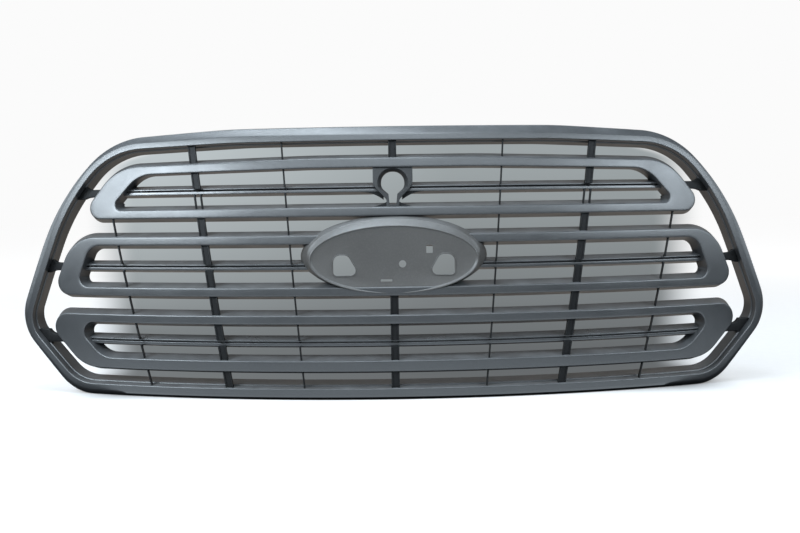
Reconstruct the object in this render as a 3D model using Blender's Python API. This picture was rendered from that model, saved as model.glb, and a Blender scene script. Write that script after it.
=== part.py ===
"""Front grille of a large van.

The grille is a bowed and leaning panel: a surround frame, three ring-shaped slats with a
double-lipped blade inside each, ribs that fan behind them, short links from the ring ends
to the frame, an oval badge base and a funnel that leads to the bonnet lock.

X is across the vehicle, Z is up, and the front faces -Y.  Every outline is drawn flat in X
and Z and then laid on the bowed face; "depth" is the distance behind that face, along +Y,
which is also the direction in which the mould would open.
"""

import math

import bmesh
import bpy
from mathutils import Matrix, Vector
from mathutils.geometry import intersect_point_line

# ---------------------------------------------------------------- driving dimensions (metres)
BOW_RADIUS = 1.100          # plan radius of the face
LEAN_RADIUS = 0.775         # side-view radius of the face
NOSE_HEIGHT = 0.060         # height of the foremost point of the face
NOSE_Y = -0.0948            # puts the middle of the whole grille at y = 0

FIT = 0.0003                # gap between neighbouring pieces
WALL = 0.0026               # wall thickness of the mouldings
SKIN = 0.0030               # thickness behind the visible faces
EDGE = 0.0018               # size of the eased front edges

# A corner is (x, z, radius).  Only the right half is given; the left half mirrors it.
# The arc divisions belong to the corners in turn, the run divisions to the runs after them.
FRAME_OUTER = [(0.2360, 0.3820, 0.900), (0.4171, 0.3721, 0.124), (0.5030, 0.2800, 0.350),
               (0.5672, 0.1017, 0.062), (0.4724, 0.0000, 0.070)]
FRAME_OPENING = [(0.2360, 0.3610, 0.900), (0.4209, 0.3545, 0.110), (0.4859, 0.2732, 0.300),
                 (0.5485, 0.0994, 0.042), (0.4658, 0.0165, 0.060)]
FRAME_DRAFTS = [0.0055, 0.0065, 0.0080, 0.0045, 0.0075, 0.0065]   # lean of each inner wall run
FRAME_ARCS = [2, 7, 4, 7, 6]
FRAME_RUNS = [3, 1, 3, 3]
FRAME_BOTTOM_RUN = 20
FRAME_TOP_RUN = 12
FRAME_DEPTH = 0.045         # inner wall
FRAME_OUTER_DEPTH = 0.026   # outer wall
FRAME_FLAT = 0.0095         # flat front face beside the opening
FRAME_SLOPE = 0.65          # fall of the outer chamfer for each metre of its width
STEP_DEPTH = 0.014          # step part-way down the inner wall
STEP_WIDTH = 0.0015
STEP_FALL = 0.0005

RING_DEPTH = 0.028
RING_FLARE = 0.0055         # how far the level walls lean outward at the back
RING_END_FLARE = 0.0085     # and the walls that face sideways
RINGS = {
    "upper": {
        "outer": [(0.1200, 0.3364, 1.200), (0.4064, 0.3302, 0.070), (0.4640, 0.2545, 0.0174)],
        "opening": [(0.1200, 0.3226, 1.200), (0.3712, 0.3180, 0.047), (0.4152, 0.2670, 0.0088)],
        "arcs": [1, 6, 7], "runs": [6, 2], "lower_run": 22, "upper_run": 8, "blade": 0.2925,
        "top_flare": 0.0020,
    },
    "middle": {
        "outer": [(0.4738, 0.2288, 0.052), (0.5058, 0.1445, 0.0195)],
        "opening": [(0.4449, 0.2163, 0.022), (0.4658, 0.1567, 0.0137)],
        "arcs": [6, 6], "runs": [3], "lower_run": 22, "upper_run": 22, "blade": 0.1847,
        "top_flare": RING_FLARE,
    },
    "lower": {
        "outer": [(0.5294, 0.1182, 0.0206), (0.4547, 0.0400, 0.056)],
        "opening": [(0.4723, 0.1058, 0.0144), (0.4242, 0.0552, 0.040)],
        "arcs": [7, 6], "runs": [2], "lower_run": 22, "upper_run": 22, "blade": 0.0787,
        "top_flare": RING_FLARE,
    },
}

BLADE_SETBACK = 0.010       # front of the blade behind the ring's face
BLADE_DEPTH = 0.020
BLADE_LIP = 0.0031
BLADE_GROOVE = 0.0020
GROOVE_RISE = 0.0012        # the groove runs this far above the middle of the blade
BLADE_CORE = 0.0021         # half height of the hollow back at its front end
GROOVE_DEPTH = 0.006
BLADE_TOP_FLARE = 0.0050
BLADE_BOTTOM_FLARE = 0.0038
BLADE_STEPS = 11
LOWER_BLADE_STEPS = 24
UPPER_SPLIT = 0.015         # the half blades start this far from the middle, inside the funnel
MIDDLE_SPLIT = 0.100        # and inside the badge base

RIB_FRONT = 0.003           # rib edge behind the face
RIB_WEB = 0.010             # back of a rib between two bars
RIB_BACK = 0.036            # back of the spine that passes behind the bars
RIB_LEG = 0.0022            # height of the legs along the bars' walls
RIB_FILLET = 0.0025
RIB_EASE = 0.0006
RIB_TOP = 0.366
RIB_BOTTOM = 0.012
THIN_RIB = 0.0020
WIDE_RIB = 0.0114
WIDE_RIB_WALL = 0.0022
WIDE_RIB_FLOOR = 0.0080     # depth of the floor between the two walls of a wide rib
OPEN_GAP = (0.2735, 0.2838)         # between these heights a wide rib has no floor
FAN_HEIGHT = -1.360         # the centre lines of the ribs would meet at this height
FAN_BASE = 0.200            # height at which the ribs' places are given
WIDE_RIB_X = 0.2645
INNER_RIB_X = 0.1437
OUTER_RIB_X = 0.3955
OUTER_RIB_TOP = 0.262
CENTRE_UPPER_BOTTOM = 0.332
CENTRE_LOWER_TOP = 0.144

LINK_HEIGHT = 0.0115
LINK_GROWTH = 0.0070        # extra height above a link where it meets the frame
LINK_FRONT = 0.016
LINK_BACK = 0.027

BADGE_SIZE = (0.1165, 0.0465)      # half width and half height of the badge recess
BADGE_Z = 0.1945
BADGE_RECESS = 0.0025
RIM_SIZE = (0.1210, 0.0520)
RIM_Z = 0.1990
RIM_FALL = 0.006
BADGE_PROUD = 0.010                # how far the badge base stands out at its top
SKIRT_SIZE = (0.1310, 0.0470)
SKIRT_DEPTH = 0.034
BADGE_KIDNEY = [(0.084, 0.201, 0.010), (0.084, 0.173, 0.005), (0.048, 0.173, 0.007),
                (0.064, 0.201, 0.010)]
BADGE_HOLE = (0.0120, 0.1880, 0.0050)      # x, z, radius
BADGE_WINDOW = (0.0495, 0.2080, 0.0045, 0.0055, 0.0010)    # x, z, half sizes, corner radius
BADGE_SLOT = (-0.0105, 0.1655, 0.0080, 0.0016, 0.0008)
CUTTER_REACH = 0.012               # cutters for the badge floor run this far to each side of it

PORT_OUTER = [(0.028, 0.331, 0.005), (0.028, 0.297, 0.018), (0.009, 0.277, 0.006),
              (0.009, 0.262, 0.001)]
PORT_INNER = [(0.0165, 0.3165, 0.0155), (0.0165, 0.294, 0.012), (0.0055, 0.2845, 0.002),
              (0.0025, 0.2795, 0.0008)]
PORT_BACK = 0.0255
PORT_CENTRE = (0.0, 0.302)
PORT_STEM_TOP = 0.290              # below this the bore is a straight-sided slot
PORT_FUNNEL = 0.005                # how much wider the bore is at the front

TAB_X = (-0.225, -0.075, 0.075, 0.225)
TAB_Z = 0.3715
TAB_SIZE = (0.030, 0.050, 0.0030)  # width, length, thickness
TAB_SLOT = (0.008, 0.014)
TAB_SLOT_SHIFT = 0.011             # the slot lies nearer the free end
HOOK_X = (-0.300, -0.180, 0.180, 0.300)
HOOK_Z = 0.0090
HOOK_WIDTH = 0.022
HOOK_LENGTH = 0.036
HOOK_BARB = 0.0030                 # rise of the barb above the tongue
PIN_RADIUS = 0.0025
PIN_X = 0.5490
PIN_Z = 0.112
PIN_STATIONS = [(0.0, 1.0), (0.028, 1.0), (0.033, 0.55)]   # distance along it and taper
FIXING_GAP = 0.0035                # room between a fixing and the skin in front of it

PART_NAME = "front_grille"


# ---------------------------------------------------------------- the face and flat outlines
def face_y(x, z):
    """Y of the bowed, leaning front face."""
    bow = BOW_RADIUS - math.sqrt(BOW_RADIUS ** 2 - x ** 2)
    lean = LEAN_RADIUS - math.sqrt(LEAN_RADIUS ** 2 - (z - NOSE_HEIGHT) ** 2)
    return NOSE_Y + bow + lean


def lay(points, depth):
    """Lay flat points on the face, at one depth or at a depth for each point."""
    depths = depth if isinstance(depth, list) else [depth] * len(points)
    return [Vector((p.x, face_y(p.x, p.y) + d, p.y)) for p, d in zip(points, depths)]


def corner_arc(before, corner, after, steps):
    """Points round one corner, from its first tangent point to its last."""
    tip = Vector(corner[:2])
    back = (Vector(before[:2]) - tip).normalized()
    ahead = (Vector(after[:2]) - tip).normalized()
    half = back.angle(ahead) / 2
    centre = tip + (back + ahead).normalized() * corner[2] / math.sin(half)
    spoke = tip + back * corner[2] / math.tan(half) - centre
    turn = math.pi - 2 * half
    if back.cross(ahead) < 0:
        turn = -turn
    return [centre + Matrix.Rotation(-turn * k / steps, 2) @ spoke for k in range(steps + 1)]


def rounded_loop(corners, runs, arcs):
    """Closed outline; arcs[i] divides corner i and runs[i] divides the run after it."""
    count = len(corners)
    bends = [corner_arc(corners[i - 1], corners[i], corners[(i + 1) % count], arcs[i])
             for i in range(count)]
    points = []
    for i, arc in enumerate(bends):
        after = bends[(i + 1) % count][0]
        points += arc
        points += [arc[-1].lerp(after, k / runs[i]) for k in range(1, runs[i])]
    return points


def symmetric_loop(corners, side_runs, bottom_run, top_run, arcs):
    """Closed outline from the corners of its right half."""
    mirrored = [(-x, z, radius) for x, z, radius in reversed(corners)]
    runs = side_runs + [bottom_run] + side_runs[::-1] + [top_run]
    return rounded_loop(corners + mirrored, runs, arcs + arcs[::-1])


def shifted(points, amount, end_amount=None, top_amount=None):
    """Move a clockwise outline outward, by other amounts where it faces sideways or up."""
    extra = 0.0 if end_amount is None else end_amount - amount
    top_extra = 0.0 if top_amount is None else top_amount - amount
    moved = []
    for i, point in enumerate(points):
        along = points[(i + 1) % len(points)] - points[i - 1]
        outward = Vector((-along.y, along.x)).normalized()
        moved.append(point + outward * (amount + extra * abs(outward.x)
                                        + top_extra * max(outward.y, 0.0)))
    return moved


def distance_to(point, points):
    """Shortest distance from a point to a closed outline."""
    nearest = math.inf
    for p, q in zip(points, points[1:] + points[:1]):
        foot, share = intersect_point_line(point, p, q)
        foot = p if share < 0 else q if share > 1 else foot
        nearest = min(nearest, (Vector(foot[:2]) - point).length)
    return nearest


def ellipse(size, z, count=48):
    """Clockwise ellipse; size holds its half width and half height."""
    angles = [-2 * math.pi * k / count for k in range(count)]
    return [Vector((size[0] * math.cos(a), z + size[1] * math.sin(a))) for a in angles]


def inset_corners(corners, widths):
    """Corners of the line that runs inside an outline, each run set in by its own width."""
    chain = [(0, corners[0][1])] + [c[:2] for c in corners] + [(0, corners[-1][1])]
    lines = []
    for start, end, width in zip(chain, chain[1:], widths):
        along = (Vector(end) - Vector(start)).normalized()
        lines.append((Vector(start) + Vector((along.y, -along.x)) * width, along))
    inner = []
    for (p, u), (q, v), corner, width in zip(lines, lines[1:], corners, widths[1:]):
        tip = p + u * ((q - p).cross(v) / u.cross(v))
        inner.append((tip.x, tip.y, corner[2] - width))
    return inner


# ---------------------------------------------------------------- meshes
def finish_mesh(name, mesh_data):
    """Turn a bmesh into an object whose faces point outward."""
    bmesh.ops.recalc_face_normals(mesh_data, faces=mesh_data.faces)
    mesh = bpy.data.meshes.new(name)
    mesh_data.to_mesh(mesh)
    mesh_data.free()
    return bpy.data.objects.new(name, mesh)


def bridge(mesh_data, rows, closed):
    """Join rows of vertices, each a closed loop, into a skin."""
    pairs = list(zip(rows, rows[1:] + rows[:1])) if closed else list(zip(rows, rows[1:]))
    for row, following in pairs:
        for k in range(len(row)):
            n = (k + 1) % len(row)
            mesh_data.faces.new((row[k], row[n], following[n], following[k]))


def loft(name, loops, closed=False):
    """Skin closed loops one after another; an open run of loops gets its two end faces."""
    mesh_data = bmesh.new()
    rows = [[mesh_data.verts.new(p) for p in loop] for loop in loops]
    bridge(mesh_data, rows, closed)
    if not closed:
        mesh_data.faces.new(rows[0])
        mesh_data.faces.new(rows[-1])
    return finish_mesh(name, mesh_data)


# ---------------------------------------------------------------- surround frame
def frame_outlines():
    """Outer outline, front edge of the opening and back edge of the inner wall."""
    back = inset_corners(FRAME_OPENING, FRAME_DRAFTS)
    return [symmetric_loop(c, FRAME_RUNS, FRAME_BOTTOM_RUN, FRAME_TOP_RUN, FRAME_ARCS)
            for c in (FRAME_OUTER, FRAME_OPENING, back)]


def half_way(front, back):
    """Outline of a leaning wall at the depth of its step."""
    return [p.lerp(q, STEP_DEPTH / FRAME_DEPTH) for p, q in zip(front, back)]


def frame_wall(opening, back, gap=0.0):
    """The inner wall of the frame from front to back, with its step."""
    step = half_way(opening, back)
    return [lay(shifted(opening, -gap), EDGE),
            lay(shifted(step, -gap), STEP_DEPTH),
            lay(shifted(step, -STEP_WIDTH - gap), STEP_DEPTH + STEP_FALL),
            lay(shifted(back, -gap), FRAME_DEPTH + gap)]


def surround_frame():
    """Channel-shaped frame: sloping outer band, flat front face and a stepped inner wall."""
    outer, opening, back = frame_outlines()
    fold = shifted(opening, FRAME_FLAT)
    fall = [FRAME_SLOPE * distance_to(point, fold) for point in outer]
    lining = shifted(outer, -WALL)
    loops = [lay(outer, FRAME_OUTER_DEPTH), lay(outer, fall), lay(fold, 0.0),
             lay(shifted(opening, EDGE), 0.0)]
    loops += frame_wall(opening, back)
    loops += [lay(shifted(back, WALL), FRAME_DEPTH),
              lay(shifted(half_way(opening, back), WALL), STEP_DEPTH + SKIN),
              lay(shifted(opening, WALL + 0.0005), SKIN + EDGE),
              lay(fold, SKIN),
              lay(lining, [f + SKIN for f in fall]),
              lay(lining, FRAME_OUTER_DEPTH)]
    return loft("surround_frame", loops, closed=True)


def frame_envelope():
    """Solid that fills the frame's section, for trimming what meets the frame."""
    outer, opening, back = frame_outlines()
    rim = shifted(outer, 0.002)
    loops = [lay(rim, FRAME_DEPTH + FIT), lay(rim, -0.002), lay(shifted(opening, -FIT), -0.002)]
    loops += frame_wall(opening, back, FIT)
    return loft("frame_envelope", loops, closed=True)


# ---------------------------------------------------------------- rings
def ring_outlines(ring):
    """Outer outline of a ring and the front edge of its opening."""
    return [symmetric_loop(ring[edge], ring["runs"], ring["lower_run"], ring["upper_run"],
                           ring["arcs"])
            for edge in ("outer", "opening")]


def ring_backs(ring, gap=0.0):
    """The same two outlines at the back, where the walls have leaned apart."""
    outer, opening = ring_outlines(ring)
    return [shifted(outer, RING_FLARE + gap),
            shifted(opening, -RING_FLARE - gap, -RING_END_FLARE - gap,
                    -ring["top_flare"] - gap)]


def ring_piece(name, ring):
    """Ring of channel section, open at the back, whose side walls lean outward."""
    outer, opening = ring_outlines(ring)
    outer_back, opening_back = ring_backs(ring)
    loops = [lay(outer_back, RING_DEPTH),
             lay(outer, EDGE),
             lay(shifted(outer, -EDGE), 0.0),
             lay(shifted(opening, EDGE), 0.0),
             lay(opening, EDGE),
             lay(opening_back, RING_DEPTH),
             lay(shifted(opening_back, WALL), RING_DEPTH),
             lay(shifted(opening, WALL), SKIN),
             lay(shifted(outer, -WALL), SKIN),
             lay(shifted(outer_back, -WALL), RING_DEPTH)]
    return loft(name, loops, closed=True)


def ring_envelope(name, ring):
    """Solid that fills a ring's section, for trimming what meets the ring."""
    outer, opening = ring_outlines(ring)
    outer_back, opening_back = ring_backs(ring, FIT)
    loops = [lay(outer_back, RING_DEPTH + FIT),
             lay(shifted(outer, FIT), EDGE),
             lay(shifted(outer, FIT), -0.001),
             lay(shifted(opening, -FIT), -0.001),
             lay(shifted(opening, -FIT), EDGE),
             lay(opening_back, RING_DEPTH + FIT)]
    return loft(name, loops, closed=True)


# ---------------------------------------------------------------- blades
def blade_section():
    """Section of a blade as (height, depth): two lips, the groove between, a hollow back."""
    lip = BLADE_GROOVE / 2 + BLADE_LIP
    high, low = GROOVE_RISE + BLADE_GROOVE / 2, GROOVE_RISE - BLADE_GROOVE / 2
    front, back = BLADE_SETBACK, BLADE_SETBACK + BLADE_DEPTH
    groove = front + GROOVE_DEPTH
    top, bottom = lip + BLADE_TOP_FLARE, -lip - BLADE_BOTTOM_FLARE
    return [(top, back), (lip, front), (high, front), (high, groove), (low, groove),
            (low, front), (-lip, front), (bottom, back), (bottom + WALL, back),
            (-BLADE_CORE, groove + WALL), (BLADE_CORE, groove + WALL), (top - WALL, back)]


def blade_envelope_section():
    """Section that encloses a blade and everything in front of it."""
    lip = BLADE_GROOVE / 2 + BLADE_LIP + FIT
    back = BLADE_SETBACK + BLADE_DEPTH
    top, bottom = lip + BLADE_TOP_FLARE, -lip - BLADE_BOTTOM_FLARE
    return [(top, back + FIT), (lip, BLADE_SETBACK), (lip, -0.001), (-lip, -0.001),
            (-lip, BLADE_SETBACK), (bottom, back + FIT)]


def strip(name, section, z, x_from, x_to, steps):
    """Section carried across the grille at one height."""
    loops = []
    for k in range(steps + 1):
        x = x_from + (x_to - x_from) * k / steps
        loops.append([Vector((x, face_y(x, z + h) + depth, z + h)) for h, depth in section])
    return loft(name, loops)


def reach(points, z):
    """Greatest X at which an outline crosses the height z."""
    crossings = []
    for p, q in zip(points, points[1:] + points[:1]):
        if (p.y - z) * (q.y - z) <= 0 and p.y != q.y:
            crossings.append(p.x + (q.x - p.x) * (z - p.y) / (q.y - p.y))
    return max(crossings)


def ring_end(ring):
    """X half-way across the broad end of a ring, at its blade's height."""
    return sum(reach(points, ring["blade"]) for points in ring_outlines(ring)) / 2


# ---------------------------------------------------------------- ribs
def rib_x(place, z):
    """X of a rib's centre line: the ribs fan out upward from one far point."""
    return place * (z - FAN_HEIGHT) / (FAN_BASE - FAN_HEIGHT)


def crossings(points, place):
    """Heights at which a rib's centre line crosses an outline."""
    heights = []
    for p, q in zip(points, points[1:] + points[:1]):
        before, after = p.x - rib_x(place, p.y), q.x - rib_x(place, q.y)
        if (before < 0) != (after < 0):
            heights.append(p.y + (q.y - p.y) * before / (before - after))
    return heights


def rib_gaps(place):
    """Lower and upper height of each gap between neighbouring bars, at their backs."""
    edges = crossings(frame_outlines()[2], place)
    lip = BLADE_GROOVE / 2 + BLADE_LIP
    for ring in RINGS.values():
        for outline in ring_backs(ring):
            edges += crossings(outline, place)
        edges += [ring["blade"] - lip - BLADE_BOTTOM_FLARE, ring["blade"] + lip + BLADE_TOP_FLARE]
    edges.sort()
    return list(zip(edges[0::2], edges[1::2]))


def rib_stations(place, bottom, top):
    """Heights of a rib's sections and its depth at each: shallow between the bars."""
    stations = [(bottom, RIB_BACK)]
    for low, high in rib_gaps(place):
        low, high = low + RIB_LEG, high - RIB_LEG
        if bottom < low and high < top:
            stations += [(low, RIB_BACK), (low + RIB_EASE, RIB_WEB + RIB_FILLET),
                         (low + RIB_FILLET, RIB_WEB), (high - RIB_FILLET, RIB_WEB),
                         (high - RIB_EASE, RIB_WEB + RIB_FILLET), (high, RIB_BACK)]
    return stations + [(top, RIB_BACK)]


def thin_section(back):
    half = THIN_RIB / 2
    return [(-half, RIB_FRONT), (half, RIB_FRONT), (half, back), (-half, back)]


def wide_section(back):
    """Channel open to the front."""
    half = WIDE_RIB / 2
    web = half - WIDE_RIB_WALL
    return [(-half, RIB_FRONT), (-web, RIB_FRONT), (-web, WIDE_RIB_FLOOR), (web, WIDE_RIB_FLOOR),
            (web, RIB_FRONT), (half, RIB_FRONT), (half, back), (-half, back)]


def rib(name, section, place, bottom, top):
    """Upright rib with a section of (sideways, depth) at each station."""
    loops = []
    for z, back in rib_stations(abs(place), bottom, top):
        centre = rib_x(place, z)
        loops.append([Vector((centre + side, face_y(centre + side, z) + depth, z))
                      for side, depth in section(back)])
    return loft(name, loops)


def rib_opening(name, place):
    """Cutter that opens the floor of a wide rib through at one height."""
    half = WIDE_RIB / 2 - WIDE_RIB_WALL - FIT
    section = [(-half, -RIB_FRONT), (half, -RIB_FRONT), (half, RIB_BACK), (-half, RIB_BACK)]
    loops = [[Vector((rib_x(place, z) + side, face_y(place, z) + depth, z))
              for side, depth in section] for z in OPEN_GAP]
    return loft(name, loops)


# ---------------------------------------------------------------- links, badge base, lock funnel
def link(name, ring, side):
    """Short bar from a ring's end to the frame's inner wall, where it grows taller."""
    z, half = ring["blade"], LINK_HEIGHT / 2
    start = ring_end(ring)
    outer, opening, back = frame_outlines()
    end = (reach(outer, z) + reach(opening, z)) / 2
    wall = reach(back, z)
    loops = []
    for x, growth in ((start, 0), (wall - 2 * LINK_GROWTH, 0), (wall - LINK_GROWTH / 2, 0.35),
                      (wall + LINK_GROWTH / 2, 1), (end, 1)):
        top = z + half + LINK_GROWTH * growth
        corners = [(top, LINK_BACK), (top, LINK_FRONT),
                   (z - half, LINK_FRONT), (z - half, LINK_BACK)]
        loops.append([Vector((side * x, face_y(x, h) + depth, h)) for h, depth in corners])
    return loft(name, loops)


def plate_y(z):
    """Y of the flat plane on which the badge would sit."""
    low, high = BADGE_Z - BADGE_SIZE[1], RIM_Z + RIM_SIZE[1]
    y_low, y_high = face_y(0, low), face_y(0, high) - BADGE_PROUD
    return y_low + (y_high - y_low) * (z - low) / (high - low)


def on_plate(size, z, depth):
    """Ellipse parallel to the badge plane."""
    return [Vector((p.x, plate_y(p.y) + depth, p.y)) for p in ellipse(size, z)]


def grown(size, amount):
    return (size[0] + amount, size[1] + amount)


def badge_base():
    """Oval cup: a skirt that widens to the back, a rim and a recessed floor."""
    middle = ((RIM_SIZE[0] + 2 * SKIRT_SIZE[0]) / 3, (RIM_SIZE[1] + SKIRT_SIZE[1]) / 2)
    recess = grown(BADGE_SIZE, -0.0015)
    inside = grown(BADGE_SIZE, -0.004)
    loops = [on_plate(inside, BADGE_Z, BADGE_RECESS + SKIN),
             on_plate(grown(middle, -WALL), (BADGE_Z + RIM_Z) / 2, SKIRT_DEPTH / 2),
             on_plate(grown(SKIRT_SIZE, -WALL), BADGE_Z, SKIRT_DEPTH),
             on_plate(SKIRT_SIZE, BADGE_Z, SKIRT_DEPTH),
             on_plate(middle, (BADGE_Z + RIM_Z) / 2, SKIRT_DEPTH / 2),
             on_plate(RIM_SIZE, RIM_Z, RIM_FALL),
             on_plate(BADGE_SIZE, BADGE_Z, 0.0),
             on_plate(recess, BADGE_Z, BADGE_RECESS)]
    return loft("badge_base", loops)


def badge_envelope():
    """Solid that encloses the badge base."""
    middle = ((RIM_SIZE[0] + 2 * SKIRT_SIZE[0]) / 3, (RIM_SIZE[1] + SKIRT_SIZE[1]) / 2)
    loops = [on_plate(grown(SKIRT_SIZE, FIT), BADGE_Z, SKIRT_DEPTH + FIT),
             on_plate(grown(middle, FIT), (BADGE_Z + RIM_Z) / 2, SKIRT_DEPTH / 2),
             on_plate(grown(RIM_SIZE, FIT), RIM_Z, RIM_FALL),
             on_plate(grown(BADGE_SIZE, FIT), BADGE_Z, -FIT),
             on_plate(grown(BADGE_SIZE, FIT), BADGE_Z, -0.010)]
    return loft("badge_envelope", loops)


def rectangle(half_width, half_height, radius):
    corners = [(half_width, half_height, radius), (half_width, -half_height, radius)]
    return symmetric_loop(corners, [1], 1, 1, [2, 2])


def cutter_prism(name, outline, x=0.0, z=0.0):
    """Flat outline carried through the floor of the badge base along Y."""
    floor = plate_y(BADGE_Z)
    loops = [[Vector((p.x + x, y, p.y + z)) for p in outline]
             for y in (floor - CUTTER_REACH, floor + CUTTER_REACH)]
    return loft(name, loops)


def badge_cutters():
    """Openings in the floor of the badge base: two kidneys, a hole, a window and a slot."""
    mirrored = [(-x, z, radius) for x, z, radius in reversed(BADGE_KIDNEY)]
    hole_x, hole_z, hole_radius = BADGE_HOLE
    cutters = [cutter_prism(f"badge_kidney_{name}", rounded_loop(corners, [1] * 4, [4] * 4))
               for name, corners in (("right", BADGE_KIDNEY), ("left", mirrored))]
    cutters.append(cutter_prism("badge_hole", ellipse((hole_radius, hole_radius), hole_z, 16),
                                hole_x))
    for name, shape in (("badge_window", BADGE_WINDOW), ("badge_slot", BADGE_SLOT)):
        x, z, half_width, half_height, radius = shape
        cutters.append(cutter_prism(name, rectangle(half_width, half_height, radius), x, z))
    return cutters


def port_outlines():
    return [symmetric_loop(c, [1, 1, 1], 1, 3, [4] * 4) for c in (PORT_OUTER, PORT_INNER)]


def lock_port():
    """Funnel to the bonnet lock: a tear-drop tube that stands on the ring's lower bar."""
    outer, inner = port_outlines()
    centre = Vector(PORT_CENTRE)
    mouth = [p + (p - centre).normalized() * PORT_FUNNEL if p.y > PORT_STEM_TOP else p
             for p in inner]
    loops = [lay(outer, PORT_BACK), lay(outer, RIB_FRONT), lay(mouth, RIB_FRONT),
             lay(inner, RING_DEPTH / 2), lay(inner, PORT_BACK)]
    return loft("lock_port", loops, closed=True)


def port_envelope():
    outer = shifted(port_outlines()[0], FIT)
    return loft("port_envelope", [lay(outer, -0.001), lay(outer, RIB_BACK)])


# ---------------------------------------------------------------- fixings behind the frame
def fixing_start(x, half_width, z):
    """Y at which a fixing starts, just behind the skin of the frame."""
    return face_y(abs(x) + half_width, z) + SKIN + FIXING_GAP


def mounting_tab(name, x):
    """Flat tab with a slot for a screw, behind the top rail."""
    width, length, thickness = TAB_SIZE
    middle = fixing_start(x, width / 2, TAB_Z) + length / 2
    plan = rectangle(width / 2, length / 2, 0.004)
    slot = [p + Vector((0.0, TAB_SLOT_SHIFT))
            for p in rectangle(TAB_SLOT[0] / 2, TAB_SLOT[1] / 2, 0.0035)]
    loops = []
    for outline, side in ((plan, -1), (plan, 1), (slot, 1), (slot, -1)):
        loops.append([Vector((x + p.x, middle + p.y, TAB_Z + side * thickness / 2))
                      for p in outline])
    return loft(name, loops, closed=True)


def snap_hook(name, x):
    """Springy tongue with a barb, behind the bottom rail."""
    half_width, half = HOOK_WIDTH / 2, SKIN / 2
    start = fixing_start(x, half_width, HOOK_Z)
    barb = HOOK_LENGTH - 0.006
    profile = [(0.0, -half), (HOOK_LENGTH, -half), (HOOK_LENGTH, 0.0), (barb, half + HOOK_BARB),
               (barb - 0.002, half + HOOK_BARB), (barb - 0.002, half), (0.0, half)]
    loops = [[Vector((x + side, start + y, HOOK_Z + z)) for y, z in profile]
             for side in (-half_width, half_width)]
    return loft(name, loops)


def locating_pin(name, x):
    """Round pin with a tapered tip that centres the end of the frame."""
    start = fixing_start(x, PIN_RADIUS, PIN_Z)
    loops = []
    for y, taper in PIN_STATIONS:
        circle = ellipse((PIN_RADIUS * taper, PIN_RADIUS * taper), PIN_Z, 16)
        loops.append([Vector((x + p.x, start + y, p.y)) for p in circle])
    return loft(name, loops)


# ---------------------------------------------------------------- assembly
def plastic(name, grey, roughness):
    """Black grained plastic."""
    material = bpy.data.materials.new(name)
    material.use_nodes = True
    shader = material.node_tree.nodes["Principled BSDF"]
    shader.inputs["Base Color"].default_value = (grey, grey * 1.05, grey * 1.12, 1.0)
    shader.inputs["Roughness"].default_value = roughness
    shader.inputs["Metallic"].default_value = 0.0
    return material


def trim(piece, cutters):
    """Cut a piece back to its neighbours' envelopes."""
    for cutter in cutters:
        modifier = piece.modifiers.new("trim_" + cutter.name, "BOOLEAN")
        modifier.operation = "DIFFERENCE"
        modifier.solver = "EXACT"
        modifier.object = cutter


def side_name(side):
    return "left" if side < 0 else "right"


def make_blades(ring_cutters, port, badge):
    """Blades of the three rings; the badge base and the lock port split two of them."""
    blades = []
    for level, split, blocker in (("upper", UPPER_SPLIT, port),
                                  ("middle", MIDDLE_SPLIT, badge)):
        ring = RINGS[level]
        for side in (-1, 1):
            piece = strip(f"{level}_blade_{side_name(side)}", blade_section(), ring["blade"],
                          side * split, side * ring_end(ring), BLADE_STEPS)
            trim(piece, [ring_cutters[level], blocker])
            blades.append(piece)
    ring = RINGS["lower"]
    piece = strip("lower_blade", blade_section(), ring["blade"], -ring_end(ring),
                  ring_end(ring), LOWER_BLADE_STEPS)
    trim(piece, [ring_cutters["lower"]])
    return blades + [piece]


def make_ribs(cutters):
    """Thin and wide ribs, trimmed to the frame, the rings and the blades."""
    ribs, openings = [], []
    for side in (-1, 1):
        name = side_name(side)
        ribs.append(rib(f"inner_rib_{name}", thin_section, side * INNER_RIB_X,
                        RIB_BOTTOM, RIB_TOP))
        ribs.append(rib(f"outer_rib_{name}", thin_section, side * OUTER_RIB_X,
                        RIB_BOTTOM, OUTER_RIB_TOP))
        ribs.append(rib(f"wide_rib_{name}", wide_section, side * WIDE_RIB_X,
                        RIB_BOTTOM, RIB_TOP))
        openings.append(rib_opening(f"wide_rib_opening_{name}", side * WIDE_RIB_X))
        trim(ribs[-1], openings[-1:])
    ribs.append(rib("centre_rib_upper", wide_section, 0.0, CENTRE_UPPER_BOTTOM, RIB_TOP))
    ribs.append(rib("centre_rib_lower", wide_section, 0.0, RIB_BOTTOM, CENTRE_LOWER_TOP))
    for piece in ribs:
        trim(piece, cutters)
    return ribs, openings


def make_links(ring_cutters, frame_cutter):
    links = []
    for level, ring in RINGS.items():
        for side in (-1, 1):
            piece = link(f"{level}_link_{side_name(side)}", ring, side)
            trim(piece, [ring_cutters[level], frame_cutter])
            links.append(piece)
    return links


def make_fixings():
    tabs = [mounting_tab(f"mounting_tab_{k + 1}", x) for k, x in enumerate(TAB_X)]
    hooks = [snap_hook(f"snap_hook_{k + 1}", x) for k, x in enumerate(HOOK_X)]
    pins = [locating_pin("locating_pin_left", -PIN_X), locating_pin("locating_pin_right", PIN_X)]
    return tabs + hooks + pins


def add_all(objects, collection, material=None):
    for item in objects:
        collection.objects.link(item)
        if material:
            item.data.materials.append(material)


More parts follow.
